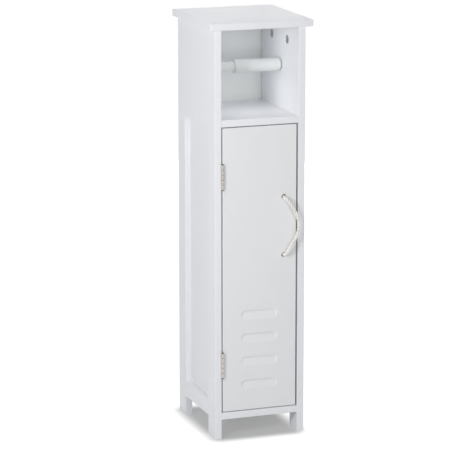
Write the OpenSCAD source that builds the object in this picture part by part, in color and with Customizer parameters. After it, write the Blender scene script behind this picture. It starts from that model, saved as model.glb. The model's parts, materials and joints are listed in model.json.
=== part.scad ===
// Slim free-standing cabinet for toilet rolls: an open bay with a sprung roll holder
// over a tall cupboard with a louvred door, two butt hinges and a rope pull.
// Millimetres. The origin is on the floor at the middle of the footprint, with +Z up,
// the door facing -Y and +X to the right as one looks at the door.

/* [Carcass] */
// Width over the two sides, without the top's overhang
body_w = 160; // [150:1:200]
// Depth of the sides, front to back
body_d = 190; // [170:1:240]
// Thickness of the boards
board_t = 12; // [12:0.5:16]
// How far the top stands out at the front and on each side
top_overhang = 10; // [8:1:25]
// Height of the legs, floor to the underside of the bottom panel
leg_h = 34; // [20:1:60]
// Clear height of the door opening
door_opening_h = 490; // [410:5:700]
// Clear height of the open bay
bay_h = 150; // [130:1:200]
// Chamfer along the free edges of the boards
edge_ease = 0.8; // [0.3:0.1:1.5]

/* [Framed sides] */
// Front-to-back width of the corner posts, which are also the legs
post_w = 35; // [28:1:40]
// Height of the lower rail between the posts
rail_h = 28; // [24:1:50]
// How far the upper board reaches down past the shelf's underside
board_below_shelf = 5; // [4:1:20]
// Thickness of the infill panel at the inner face
infill_t = 3; // [2.5:0.5:5]
// How far the infill panel laps into the rebate around it
infill_lap = 6; // [4:0.5:10]
// Play of the infill panel in its rebate
infill_play = 0.2; // [0.1:0.05:0.5]

/* [Back panel] */
// Thickness of the back panel
back_t = 3; // [2.5:0.5:5]
// Depth of the recess behind the back panel
back_recess = 9; // [6:0.5:15]
// Depth of the groove that holds the back panel
groove_d = 5; // [3:0.5:6]
// Play of the back panel in its groove
groove_play = 0.2; // [0.1:0.05:0.5]
// Distance between the nails that hold the back panel
nail_pitch = 45; // [25:1:48]
// Length of a nail
nail_len = 14; // [10:1:18]
// Radius of a nail
nail_r = 0.8; // [0.6:0.1:1.2]
// Radius of a nail's flat head
nail_head_r = 2; // [1.6:0.1:3]
// Thickness of a nail's head
nail_head_t = 0.6; // [0.4:0.1:1]

/* [Cam joints] */
// Radius of a cam lock
cam_r = 7.4; // [6:0.1:8]
// Board left behind a cam lock
cam_floor = 1.5; // [1:0.25:1.75]
// Play between a cam lock and its bore
cam_play = 0.1; // [0.05:0.05:0.2]
// Distance from a cam lock's centre to the joint
cam_reach = 29; // [24:0.5:34]
// Distance from the front posts to the first row of cam locks
cam_inset_front = 20; // [16:1:30]
// Distance from the rear posts to the second row of cam locks
cam_inset_rear = 27; // [16:1:35]
// Radius of a cam bolt's shank and thread
bolt_r = 3; // [2.5:0.1:3]
// Radius of a cam bolt's waist, which the cam grips
bolt_waist_r = 1.8; // [1.4:0.1:2]
// Length of a cam bolt's thread
bolt_thread_len = 9; // [7:0.5:10]
// Play around a cam bolt in the board that it draws in
bolt_play = 0.5; // [0.3:0.1:0.8]

/* [Dowels] */
// Radius of a dowel
dowel_r = 3; // [2.5:0.25:3]
// Length of a corner dowel
dowel_len = 24; // [20:1:28]
// How far a corner dowel reaches into the side or the top
dowel_bite = 8; // [6:0.5:9]
// Length of the dowels that join posts to rails
frame_dowel_len = 16; // [12:1:16]

/* [Fasteners] */
// Radial clearance around pins, nails, dowels and screws in their holes
hole_play = 0.05; // [0.02:0.01:0.1]
// Radius of a small screw's shank
screw_r = 1.25; // [1:0.05:1.5]
// Length of a small screw
screw_len = 9; // [7:0.5:10]
// Radius of a small screw's countersunk head
screw_head_r = 2.4; // [2:0.1:2.6]
// Height of a small screw's countersunk head
screw_head_h = 1.4; // [1:0.1:1.8]

/* [Door] */
// Thickness of the door
door_t = 12; // [12:0.5:16]
// Gap between the door and the post on the handle side
gap_handle_side = 3.2; // [1.5:0.1:4]
// Gap above and below the door
gap_ends = 1.5; // [1:0.1:3]
// Number of louvres low on the door
louvre_count = 4; // [1:1:6]
// Length of a louvre
louvre_w = 66; // [40:1:90]
// Height of a louvre
louvre_h = 17; // [12:1:20]
// Distance between louvres
louvre_pitch = 40.5; // [28:0.5:50]
// Height of the lowest louvre above the bottom of the door
louvre_rise = 36; // [15:1:60]
// Depth of a louvre at the foot of its upper wall
louvre_d = 2.4; // [0.5:0.1:3]
// Height of a louvre's sloping upper wall, which also runs round its ends
louvre_wall = 5; // [2:0.5:5.5]

/* [Butt hinges] */
// Length of a hinge
hinge_h = 43; // [36:1:60]
// Width of a leaf, pin centre to free edge
leaf_w = 13.5; // [13:0.5:14.5]
// Thickness of a leaf
leaf_t = 0.9; // [0.8:0.1:1.2]
// Gap between the closed leaves
leaf_gap = 0.2; // [0.15:0.05:0.6]
// Number of knuckles, an odd number
knuckle_count = 5; // [3:2:7]
// Outer radius of the knuckles
knuckle_r = 2.5; // [2.2:0.1:3]
// Clearance around the knuckles, and between them along the pin
knuckle_gap = 0.3; // [0.2:0.05:0.5]
// Radius of the hinge pin
pin_r = 1.2; // [1:0.1:1.4]
// Radius of the pin's heads
pin_head_r = 1.9; // [1.6:0.1:2.2]
// Thickness of the pin's heads
pin_head_t = 1.2; // [0.5:0.1:1.5]
// Distance from the ends of the door opening to the middle of each hinge
hinge_inset = 83.5; // [40:0.5:110]
// Distance from a hinge's middle to its screws
hinge_screw_rise = 13.5; // [9:0.5:15]

/* [Rope pull] */
// Radius of the rope
rope_r = 3; // [2:0.25:3.5]
// Radius of the holes that the rope passes through
rope_hole_r = 4; // [4:0.25:5]
// Distance from the door's free edge to the holes
rope_inset = 22.3; // [15:0.1:40]
// Distance between the two holes
rope_pitch = 100; // [80:1:130]
// Height of the middle of the pull above the bottom of the door
rope_rise = 315; // [290:1:330]
// Length of the loose end below each knot
rope_tail = 9; // [4:1:15]

/* [Magnetic catch] */
// Distance from the door's free edge to the middle of the catch
catch_inset = 28.8; // [25.5:0.1:40.5]
// Width of the catch's block, without its ears
catch_w = 18; // [14:1:20]
// Width of each screw ear
catch_ear_w = 8; // [7:0.5:9]
// Thickness of the screw ears
catch_ear_t = 3; // [2.5:0.5:4]
// Depth of the catch, front to back
catch_d = 18; // [16:1:24]
// Thickness of the catch's walls around the magnet
catch_wall = 2; // [1.5:0.25:3]
// Thickness of the magnet between its two poles
magnet_t = 3; // [2:0.5:4]
// Thickness of each steel pole
pole_t = 1.5; // [1:0.5:2]
// How far the poles stand out of the block
pole_out = 1; // [0.5:0.5:2]
// Gap between the poles and the strike plate
strike_gap = 0.3; // [0.2:0.05:0.5]
// Length of the strike plate
strike_w = 30; // [28:1:36]
// Height of the strike plate
strike_h = 9; // [8:0.5:11]
// Distance from the strike plate to the top of the door
strike_inset = 1; // [0.5:0.25:2]
// Thickness of the strike plate
strike_t = 1.2; // [1:0.1:1.5]
// Distance from the strike plate's middle to its screws
strike_screw_x = 11; // [10.5:0.5:11]

/* [Roll holder] */
// Distance from the front of the sides to the roll holder
roller_from_front = 85; // [75:1:100]
// Outer radius of the large tube
tube_r = 11; // [10.8:0.1:13]
// How far the collar at the large tube's mouth stands out of it
collar_out = 0.5; // [0.3:0.1:1]
// Length of the collar
collar_len = 24; // [10:1:30]
// Length of the large tube, without its end pin
tube_len = 84.5; // [75:0.5:90]
// Length of the cone that ends the large tube
nose_cone = 4; // [2:0.5:4.5]
// Outer radius of the small tube
small_r = 8.7; // [8:0.1:8.9]
// Thickness of the tubes' end walls
end_wall = 3; // [2:0.5:4]
// Clearance between the sliding tubes
tube_gap = 0.3; // [0.2:0.05:0.4]
// How far the small tube's stop flange stands out
flange_out = 0.9; // [0.6:0.1:0.9]
// Length of the stop flange and of the lip that catches it
flange_len = 3; // [2:0.5:5]
// Distance from the large tube's mouth to the end of the small tube inside it
small_inside = 20; // [16:0.5:26]
// Radius of the end pins
end_pin_r = 4; // [3:0.5:5]
// Length of the end pins
end_pin_len = 6; // [5:0.5:7]
// Gap between the tubes' ends and the sides
end_gap = 0.5; // [0.3:0.1:1]
// Radial clearance of the end pins in their sockets
socket_play = 0.08; // [0.04:0.01:0.1]
// Depth of the sockets
socket_d = 7; // [6.8:0.1:8]
// Mean radius of the spring's coil
spring_r = 6; // [5.4:0.1:6.2]
// Radius of the spring's wire
wire_r = 0.6; // [0.4:0.1:0.8]
// Number of turns of the spring
spring_turns = 16; // [8:1:20]

/* [Hidden] */

$fn = 48;

// How far a cutter runs past the face that it cuts
past = 1;

// Colours
white_paint = "#eef0f4";
door_paint = "#e6e7ea";
nickel = "#b9bbbd";
zinc = "#a9adb3";
steel = "#8d9197";
dark_steel = "#4b4b4e";
beech = "#d8b98a";
cotton = "#ece4d2";
white_plastic = "#f2f3f4";
ferrite = "#3c3c3f";

// Heights, from the floor up
z_bottom = leg_h;
z_floor = z_bottom + board_t;
z_shelf = z_floor + door_opening_h;
z_bay = z_shelf + board_t;
z_top = z_bay + bay_h;
cabinet_h = z_top + board_t;
z_rail_top = z_bottom + rail_h;
z_board = z_shelf - board_below_shelf;

// Widths and depths, from the middle of the footprint
x_out = body_w / 2;
x_in = x_out - board_t;
x_mid_side = (x_in + x_out) / 2;
top_w = body_w + 2 * top_overhang;
top_d = body_d + top_overhang;
y_back = top_d / 2;
y_front = y_back - body_d;
y_post_f = y_front + post_w;
y_post_r = y_back - post_w;
y_back_rear = y_back - back_recess;
y_back_front = y_back_rear - back_t;

// Rows of joints, front to back
cam_h = board_t - cam_floor - cam_play;
cam_rows = [y_post_f + cam_inset_front, y_post_r - cam_inset_rear];
dowel_rows = [(y_front + y_post_f) / 2, (y_post_r + y_back_front) / 2];
frame_dowel_end = 20;
frame_dowel_heights = [z_bottom + rail_h / 2, z_board + frame_dowel_end, z_top - frame_dowel_end];
cross_mid_heights = [z_bottom + board_t / 2, z_shelf + board_t / 2];

// Door
gap_hinge_side = 2 * leaf_t + leaf_gap;
x_door_l = gap_hinge_side - x_in;
x_door_r = x_in - gap_handle_side;
z_door = z_floor + gap_ends;
z_door_top = z_shelf - gap_ends;
y_door_back = y_front + door_t;
x_rope = x_door_r - rope_inset;
z_rope = z_door + rope_rise;
louvre_x = (x_door_l + x_door_r) / 2;

// Hinges: the pin stands proud of the front by the knuckles and their clearance
x_pin = -x_in + gap_hinge_side / 2;
y_pin = y_front - knuckle_r - knuckle_gap;
hinge_heights = [z_shelf - hinge_inset, z_floor + hinge_inset];
knuckle_pitch = hinge_h / knuckle_count;
hinge_screw_y = knuckle_r + knuckle_gap + door_t / 2;

// Catch: its magnet is level with the middle of the strike plate
catch_x = x_door_r - catch_inset;
z_magnet = z_door_top - strike_inset - strike_h / 2;
y_strike = y_door_back + strike_t;
y_pole = y_strike + strike_gap;
y_catch = y_pole + pole_out;
stack_h = magnet_t + 2 * pole_t;
pole_w = catch_w - 2 * catch_wall;
pole_d = catch_d - catch_wall;

// Roll holder, along X
y_roller = y_front + roller_from_front;
z_roller = z_bay + bay_h / 2;
x_tube_end = x_in - end_gap;
x_mouth = x_tube_end - tube_len;
small_len = x_mouth + small_inside + x_tube_end;
collar_r = tube_r + collar_out;
flange_r = small_r + flange_out;
tube_bore_r = flange_r + tube_gap;
lip_len = 2 * flange_len;
spring_bore_r = spring_r + wire_r + tube_gap;
spring_seat = small_len - small_inside;
spring_boss_r = spring_r - wire_r - tube_gap;
x_spring_start = spring_seat - x_tube_end;
x_spring_end = x_tube_end - end_wall;

// The rope's route: along X from the holes, along Y from the door's front, and up from
// the middle of the pull at a hole distance of 100. Its weight and its bow make it lean on
// one side of each hole.
rope_route_pitch = 100;
rope_route = [[0.4, 12, 49.2], [0.4, 6, 49.2], [0.4, 0, 49.2], [0.8, -5, 48.5], [3, -8.5, 45.5],
    [7, -10, 40], [12, -10, 32], [17, -10.5, 23], [21, -10.5, 14], [23, -10.5, 5],
    [23, -10.5, -4], [21, -10.5, -13], [17, -10.5, -22], [12, -10, -30], [7, -10, -38],
    [3.2, -8.5, -44.5], [1, -5, -48.4], [0.6, 0, -49.4], [0.6, 6, -49.4], [0.6, 12, -49.4]];
rope_sides = 10;

// Wire of the spring
spring_sides = 6;
spring_rings_per_turn = 8;

// ---- Shared shapes ----

// A box between two opposite corners
module span(low, high) {
    translate(low) cube(high - low);
}

// A rectangle with its corners cut off at 45 degrees
function eased_rect(w, h, c) = [[c, 0], [w - c, 0], [w, c], [w, h - c],
    [w - c, h], [c, h], [0, h - c], [0, c]];

// A board with all its edges eased
module eased_board(low, high, c) {
    size = high - low;
    translate(low) intersection() {
        linear_extrude(size.z) polygon(eased_rect(size.x, size.y, c));
        translate([0, size.y, 0]) rotate([90, 0, 0])
            linear_extrude(size.y) polygon(eased_rect(size.x, size.z, c));
        rotate([90, 0, 90]) linear_extrude(size.x) polygon(eased_rect(size.y, size.z, c));
    }
}

// Everything below is drawn for the left side; the right side is its mirror image
module on_side(left) {
    mirror([left ? 0 : 1, 0, 0]) children();
}

module both_sides() {
    for (left = [true, false]) on_side(left) children();
}

// Turn a shape drawn along +Z so that it points along +X, -X, +Y or -Y
module to_right() rotate([0, 90, 0]) children();
module to_left() rotate([0, -90, 0]) children();
module to_back() rotate([-90, 0, 0]) children();

// The hole for a dowel, centred on the joint; the dowel itself has no play
module dowel_at(len, bite, play) {
    translate([0, 0, -bite - play]) cylinder(r = dowel_r + play, h = len + 2 * play);
}

// Corner dowels of one side: into the shelf and bottom along X, into the top along Z
module cross_dowels(play) {
    for (y = dowel_rows, z = cross_mid_heights)
        translate([-x_in, y, z]) to_right() dowel_at(dowel_len, dowel_bite, play);
}

module top_dowels(play) {
    for (y = dowel_rows)
        translate([-x_mid_side, y, z_top]) mirror([0, 0, 1])
            dowel_at(dowel_len, dowel_bite, play);
}

// Dowels of one side between its posts and its rail and board
module frame_dowels(play) {
    for (z = frame_dowel_heights) {
        translate([-x_mid_side, y_post_f, z]) to_back()
            dowel_at(frame_dowel_len, frame_dowel_len / 2, play);
        translate([-x_mid_side, y_post_r, z]) to_back()
            dowel_at(frame_dowel_len, frame_dowel_len / 2, play);
    }
}

// A cam lock: its face on z = 0, its body above, and its bolt coming in along +X
module cam_lock() {
    slot_r = bolt_r + bolt_play;
    cross_w = 1.4;
    cross_len = 7;
    cross_d = 2;
    difference() {
        cylinder(r = cam_r, h = cam_h);
        translate([0, 0, board_t / 2]) to_right()
            cylinder(r = slot_r, h = cam_r + past);
        for (turn = [0, 90]) rotate(turn)
            translate([-cross_len / 2, -cross_w / 2, -past])
                cube([cross_len, cross_w, cross_d + past]);
    }
}

module cam_bore() {
    translate([0, 0, -past]) cylinder(r = cam_r + cam_play, h = cam_h + cam_play + past);
}

// A cam bolt for that lock: head in the cam, waist, shank, collar at the joint, thread
module cam_bolt() {
    head_len = 2.5;
    waist_len = 4;
    shank_end = cam_reach - 1;
    translate([0, 0, board_t / 2]) to_right() {
        cylinder(r = bolt_r, h = head_len);
        cylinder(r = bolt_waist_r, h = shank_end);
        translate([0, 0, head_len + waist_len])
            cylinder(r = bolt_r, h = cam_reach + bolt_thread_len - head_len - waist_len);
    }
}

// What the bolt needs: a wide passage up to the joint, and a close hole for its thread
module bolt_passage() {
    translate([0, 0, board_t / 2]) to_right() cylinder(r = bolt_r + bolt_play, h = cam_reach + past);
}

module bolt_thread_hole() {
    translate([cam_reach - past, 0, board_t / 2]) to_right()
        cylinder(r = bolt_r + hole_play, h = bolt_thread_len + past + hole_play);
}

// Places of the cam joints of the left side. The top's locks sit in the upper board,
// and those of the shelf and the bottom are let into their undersides.
module at_top_cams() {
    for (y = cam_rows) translate([-x_in, y, z_top - cam_reach]) to_left() children();
}

module at_cross_cams(z) {
    for (y = cam_rows) translate([cam_reach - x_in, y, z]) mirror([1, 0, 0]) children();
}

// A countersunk screw that points along -Z, with the flat of its head on z = 0
module screw() {
    slot_w = 0.5;
    slot_len = 2.6;
    slot_d = 0.6;
    difference() {
        union() {
            translate([0, 0, -screw_head_h])
                cylinder(r1 = screw_r, r2 = screw_head_r, h = screw_head_h);
            translate([0, 0, -screw_len]) cylinder(r = screw_r, h = screw_len);
        }
        for (turn = [0, 90]) rotate(turn)
            translate([-slot_len / 2, -slot_w / 2, -slot_d])
                cube([slot_len, slot_w, slot_d + past]);
    }
}

module screw_hole() {
    translate([0, 0, -screw_head_h])
        cylinder(r1 = screw_r + hole_play, r2 = screw_head_r + hole_play, h = screw_head_h);
    translate([0, 0, -screw_len - hole_play])
        cylinder(r = screw_r + hole_play, h = screw_len + hole_play + past);
    cylinder(r = screw_head_r + hole_play, h = past);
}

// ---- Framed sides ----

// The rebate that takes the edges of the infill panel, in the inner faces
module infill_rebate() {
    span([-x_in - infill_t, y_post_f - infill_lap, z_rail_top - infill_lap],
        [-x_in + past, y_post_r + infill_lap, z_board + infill_lap]);
}

module infill_panel(left) {
    low = [-x_in - infill_t, y_post_f - infill_lap + infill_play,
        z_rail_top - infill_lap + infill_play];
    high = [-x_in, y_post_r + infill_lap - infill_play, z_board + infill_lap - infill_play];
    color(white_paint) on_side(left) span(low, high);
}

// A post's plan, with the corners at its free end eased
module front_post(left) {
    plan = [[-x_out + edge_ease, y_front], [-x_in - edge_ease, y_front],
        [-x_in, y_front + edge_ease], [-x_in, y_post_f], [-x_out, y_post_f],
        [-x_out, y_front + edge_ease]];
    color(white_paint) on_side(left) difference() {
        linear_extrude(z_top) polygon(plan);
        infill_rebate();
        cross_dowels(hole_play);
        top_dowels(hole_play);
        frame_dowels(hole_play);
        if (left) at_hinges() frame_leaf_screws() screw_hole();
    }
}

module rear_post(left) {
    plan = [[-x_out, y_post_r], [-x_in, y_post_r], [-x_in, y_back - edge_ease],
        [-x_in - edge_ease, y_back], [-x_out + edge_ease, y_back],
        [-x_out, y_back - edge_ease]];
    color(white_paint) on_side(left) difference() {
        linear_extrude(z_top) polygon(plan);
        infill_rebate();
        back_groove();
        cross_dowels(hole_play);
        top_dowels(hole_play);
        frame_dowels(hole_play);
    }
}

module upper_board(left) {
    color(white_paint) on_side(left) difference() {
        span([-x_out, y_post_f, z_board], [-x_in, y_post_r, z_top]);
        infill_rebate();
        frame_dowels(hole_play);
        at_top_cams() {
            cam_bore();
            bolt_passage();
        }
        at_cross_cams(z_shelf) bolt_thread_hole();
        translate([-x_in + past, y_roller, z_roller]) to_left()
            cylinder(r = end_pin_r + socket_play, h = socket_d + past);
    }
}

module lower_rail(left) {
    color(white_paint) on_side(left) difference() {
        span([-x_out, y_post_f, z_bottom], [-x_in, y_post_r, z_rail_top]);
        infill_rebate();
        frame_dowels(hole_play);
        at_cross_cams(z_bottom) bolt_thread_hole();
    }
}

// ---- Cross boards and back ----

module top_panel() {
    color(white_paint) difference() {
        eased_board([-top_w / 2, -top_d / 2, z_top], [top_w / 2, top_d / 2, cabinet_h], edge_ease);
        both_sides() {
            top_dowels(hole_play);
            at_top_cams() bolt_thread_hole();
        }
        back_groove();
    }
}

// A board between the sides, with its front edge eased
module cross_board(z) {
    edge = [[y_front + edge_ease, z], [y_back_front, z], [y_back_front, z + board_t],
        [y_front + edge_ease, z + board_t], [y_front, z + board_t - edge_ease],
        [y_front, z + edge_ease]];
    difference() {
        translate([-x_in, 0, 0]) rotate([90, 0, 90]) linear_extrude(2 * x_in) polygon(edge);
        both_sides() {
            cross_dowels(hole_play);
            at_cross_cams(z) {
                cam_bore();
                bolt_passage();
            }
        }
        nail_places() nail(hole_play);
    }
}

module shelf_panel() {
    color(white_paint) difference() {
        cross_board(z_shelf);
        at_catch_screws() screw_hole();
    }
}

module bottom_panel() {
    color(white_paint) cross_board(z_bottom);
}

// The groove for the back panel in the rear posts and the top
module back_groove() {
    span([-x_in - groove_d, y_back_front, z_bottom - groove_play],
        [x_in + groove_d, y_back_rear + groove_play, z_top + groove_d]);
}

module back_panel() {
    half_w = x_in + groove_d - groove_play;
    color(white_paint) difference() {
        span([-half_w, y_back_front, z_bottom], [half_w, y_back_rear, z_top + groove_d - groove_play]);
        nail_places() nail(hole_play);
    }
}

module nail_places() {
    for (i = [-1, 0, 1], z = cross_mid_heights)
        translate([i * nail_pitch, y_back_rear, z]) to_back() children();
}

// A nail that points along -Z, with its head standing on z = 0
module nail(play) {
    translate([0, 0, -nail_len - play]) cylinder(r = nail_r + play, h = nail_len + play);
    cylinder(r = nail_head_r + play, h = nail_head_t);
}

module back_panel_nails() {
    color(steel) nail_places() nail(0);
}

// ---- Joinery ----

module top_cam_locks() {
    color(zinc) both_sides() at_top_cams() cam_lock();
}

module shelf_cam_locks() {
    color(zinc) both_sides() at_cross_cams(z_shelf) cam_lock();
}

module bottom_cam_locks() {
    color(zinc) both_sides() at_cross_cams(z_bottom) cam_lock();
}

module top_cam_bolts() {
    color(zinc) both_sides() at_top_cams() cam_bolt();
}

module shelf_cam_bolts() {
    color(zinc) both_sides() at_cross_cams(z_shelf) cam_bolt();
}

module bottom_cam_bolts() {
    color(zinc) both_sides() at_cross_cams(z_bottom) cam_bolt();
}

module corner_dowels() {
    color(beech) both_sides() {
        cross_dowels(0);
        top_dowels(0);
    }
}

module side_frame_dowels() {
    color(beech) both_sides() frame_dowels(0);
}

// ---- Door ----

// A louvre is a shallow scoop: a dish with round ends and sloping walls, cut off by a ramp
// that rises from its lower edge to the foot of its upper wall
module louvre_cut() {
    end_r = louvre_h / 2;
    mouth_r = end_r + past * louvre_wall / louvre_d;
    foot_r = end_r - louvre_wall;
    straight = louvre_w - 2 * end_r;
    slope = atan(louvre_d / (louvre_h - louvre_wall));
    section = [[-past, -mouth_r], [-past, mouth_r], [louvre_d, foot_r], [louvre_d, -foot_r]];
    intersection() {
        translate([0, 0, end_r]) union() {
            translate([-straight / 2, 0, 0]) rotate([90, 0, 90])
                linear_extrude(straight) polygon(section);
            for (x = [-straight / 2, straight / 2])
                translate([x, -past, 0]) to_back()
                    cylinder(r1 = mouth_r, r2 = foot_r, h = louvre_d + past);
        }
        rotate([-slope, 0, 0]) translate([-louvre_w, -louvre_h, -louvre_h])
            cube([2 * louvre_w, louvre_h, 3 * louvre_h]);
    }
}

module door_panel() {
    color(door_paint) difference() {
        eased_board([x_door_l, y_front, z_door], [x_door_r, y_door_back, z_door_top], edge_ease);
        for (i = [0 : louvre_count - 1])
            translate([louvre_x, y_front, z_door + louvre_rise + i * louvre_pitch]) louvre_cut();
        for (end = [-1, 1])
            translate([x_rope, y_front - past, z_rope + end * rope_pitch / 2]) to_back()
                cylinder(r = rope_hole_r, h = door_t + 2 * past);
        at_hinges() door_leaf_screws() screw_hole();
        at_strike_screws() screw_hole();
    }
}

// ---- Butt hinges, drawn with the pin on the Z axis and the door towards +X ----

module at_hinges() {
    for (z = hinge_heights) translate([x_pin, y_pin, z]) children();
}

module frame_leaf_screws() {
    for (end = [-1, 1])
        translate([-leaf_gap / 2, hinge_screw_y, end * hinge_screw_rise]) to_right() children();
}

module door_leaf_screws() {
    for (end = [-1, 1])
        translate([leaf_gap / 2, hinge_screw_y, end * hinge_screw_rise]) to_left() children();
}

// One leaf with every second knuckle, on the frame's side of the pin
module leaf(first) {
    low = -hinge_h / 2;
    difference() {
        union() {
            translate([-leaf_gap / 2 - leaf_t, 0, low]) cube([leaf_t, leaf_w, hinge_h]);
            for (k = [first : 2 : knuckle_count - 1])
                translate([0, 0, low + k * knuckle_pitch + knuckle_gap / 2])
                    cylinder(r = knuckle_r, h = knuckle_pitch - knuckle_gap);
        }
        for (k = [1 - first : 2 : knuckle_count - 1])
            translate([0, 0, low + k * knuckle_pitch - knuckle_gap / 2])
                cylinder(r = knuckle_r + knuckle_gap, h = knuckle_pitch + knuckle_gap);
        translate([0, 0, low - past]) cylinder(r = pin_r + hole_play, h = hinge_h + 2 * past);
        frame_leaf_screws() screw_hole();
    }
}

module hinge_frame_leaf(which) {
    color(nickel) translate([x_pin, y_pin, hinge_heights[which]]) leaf(0);
}

module hinge_door_leaf(which) {
    color(nickel) translate([x_pin, y_pin, hinge_heights[which]]) mirror([1, 0, 0]) leaf(1);
}

module hinge_pin(which) {
    shaft = hinge_h - knuckle_gap;
    color(dark_steel) translate([x_pin, y_pin, hinge_heights[which]]) {
        cylinder(r = pin_r, h = shaft, center = true);
        for (end = [0, 1]) mirror([0, 0, end])
            translate([0, 0, shaft / 2]) cylinder(r = pin_head_r, h = pin_head_t);
    }
}

module hinge_frame_screws() {
    color(nickel) at_hinges() frame_leaf_screws() screw();
}

module hinge_door_screws() {
    color(nickel) at_hinges() door_leaf_screws() screw();
}

// ---- Rope pull ----

function unit(v) = v / norm(v);

function tangent(path, i) =
    unit(path[min(i + 1, len(path) - 1)] - path[max(i - 1, 0)]);

// A ring of points around the path; no stretch of the path runs along the side direction
function ring(path, i, r, sides, side_way) =
    let (t = tangent(path, i), u = unit(cross(t, side_way)), v = cross(t, u))
    [for (k = [0 : sides - 1]) path[i] + r * (cos(360 * k / sides) * u + sin(360 * k / sides) * v)];

module tube(path, r, sides, side_way) {
    n = len(path);
    points = [for (i = [0 : n - 1]) each ring(path, i, r, sides, side_way)];
    walls = [for (i = [0 : n - 2], k = [0 : sides - 1])
        let (a = i * sides + k, b = i * sides + (k + 1) % sides)
        each [[a, b, b + sides], [a, b + sides, a + sides]]];
    first = [[for (k = [sides - 1 : -1 : 0]) k]];
    last = [[for (k = [0 : sides - 1]) (n - 1) * sides + k]];
    polyhedron(points, concat(walls, first, last));
}

module rope_handle() {
    stretch = rope_pitch / rope_route_pitch;
    path = [for (p = rope_route)
        [x_rope + p.x, y_front + (p.y > 0 ? p.y * door_t / rope_route[0].y : p.y),
            z_rope + p.z * stretch]];
    color(cotton) tube(path, rope_r, rope_sides, [1, 0, 0]);
}

// A knot of two turns drawn tight against the back of the door, and its loose end
module rope_knot(end) {
    turn_rise = 1.7 * rope_r;
    knot_h = turn_rise + 2 * rope_r;
    color(cotton) translate([x_rope, y_door_back, z_rope + end * rope_pitch / 2]) to_back() {
        for (turn = [0, 1])
            translate([0, 0, rope_r + turn * turn_rise])
                rotate_extrude() translate([rope_hole_r, 0]) circle(r = rope_r, $fn = 24);
        cylinder(r = rope_hole_r, h = turn_rise + rope_r);
        cylinder(r = rope_r, h = knot_h + rope_tail);
    }
}

// ---- Magnetic catch ----

module at_catch_screws() {
    for (end = [-1, 1])
        translate([catch_x + end * (catch_w + catch_ear_w) / 2, y_catch + catch_d / 2,
            z_shelf - catch_ear_t]) mirror([0, 0, 1]) children();
}

module at_strike_screws() {
    for (end = [-1, 1])
        translate([catch_x + end * strike_screw_x, y_strike, z_magnet]) to_back() children();
}

// A plate of the magnet stack, drawn back into the catch from a front at y
module stack_plate(y, z, thick) {
    span([catch_x - pole_w / 2, y, z - thick / 2],
        [catch_x + pole_w / 2, y + pole_d, z + thick / 2]);
}

module catch_housing() {
    ears = catch_w / 2 + catch_ear_w;
    y_end = y_catch + catch_d;
    color(white_plastic) difference() {
        union() {
            span([catch_x - catch_w / 2, y_catch, z_magnet - stack_h / 2 - catch_wall],
                [catch_x + catch_w / 2, y_end, z_shelf]);
            span([catch_x - ears, y_catch, z_shelf - catch_ear_t], [catch_x + ears, y_end, z_shelf]);
        }
        translate([0, -past, 0]) stack_plate(y_catch, z_magnet, stack_h);
        stack_plate(y_catch, z_magnet, stack_h);
        at_catch_screws() screw_hole();
    }
}

module catch_magnet() {
    color(ferrite) stack_plate(y_catch, z_magnet, magnet_t);
}

module catch_poles() {
    color(steel) for (end = [-1, 1])
        stack_plate(y_pole, z_magnet + end * (magnet_t + pole_t) / 2, pole_t);
}

module catch_screws() {
    color(nickel) at_catch_screws() screw();
}

module strike_plate() {
    color(nickel) difference() {
        span([catch_x - strike_w / 2, y_door_back, z_magnet - strike_h / 2],
            [catch_x + strike_w / 2, y_strike, z_magnet + strike_h / 2]);
        at_strike_screws() screw_hole();
    }
}

module strike_screws() {
    color(nickel) at_strike_screws() screw();
}

// ---- Roll holder, turned about its own axis ----

module at_roller(x) {
    translate([x, y_roller, z_roller]) to_right() children();
}

// The large tube with its collar, retaining lip, coned nose, spring boss and end pin. Its bore
// narrows inside the nose to the spring's seat.
module roller_outer_tube() {
    soft = 0.8;
    boss_len = 4;
    lip_r = small_r + tube_gap;
    seat_x = tube_len - end_wall;
    cone_x = seat_x - (tube_bore_r - spring_bore_r);
    outline = [[lip_r, 0], [collar_r - soft, 0], [collar_r, soft], [collar_r, collar_len - soft],
        [tube_r, collar_len], [tube_r, tube_len - nose_cone], [tube_r - nose_cone, tube_len],
        [end_pin_r, tube_len], [end_pin_r, tube_len + end_pin_len - soft],
        [end_pin_r - soft, tube_len + end_pin_len], [0, tube_len + end_pin_len],
        [0, seat_x - boss_len], [spring_boss_r, seat_x - boss_len], [spring_boss_r, seat_x],
        [spring_bore_r, seat_x], [tube_bore_r, cone_x], [tube_bore_r, lip_len],
        [lip_r, lip_len - soft]];
    color(white_plastic) at_roller(x_mouth) rotate_extrude() polygon(outline);
}

// The small tube with its end pin, stop flange, and the step that the spring stands on
module roller_inner_tube() {
    soft = 0.8;
    core_r = end_pin_r + soft;
    outline = [[0, -end_pin_len], [end_pin_r - soft, -end_pin_len], [end_pin_r, soft - end_pin_len],
        [end_pin_r, 0], [small_r - 2 * soft, 0], [small_r, 2 * soft],
        [small_r, small_len - flange_len], [flange_r, small_len - flange_len],
        [flange_r, small_len], [spring_bore_r, small_len], [spring_bore_r, spring_seat],
        [core_r, spring_seat], [core_r, end_wall], [0, end_wall]];
    color(white_plastic) at_roller(-x_tube_end) rotate_extrude() polygon(outline);
}

// The compression spring between the small tube's step and the large tube's end
module roller_spring() {
    start = x_spring_start + wire_r;
    run = x_spring_end - wire_r - start;
    rings = spring_turns * spring_rings_per_turn;
    path = [for (i = [0 : rings])
        let (a = 360 * i / spring_rings_per_turn)
        [start + run * i / rings, y_roller + spring_r * cos(a), z_roller + spring_r * sin(a)]];
    color(steel) tube(path, wire_r, spring_sides, [1, 0, 0]);
}

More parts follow.
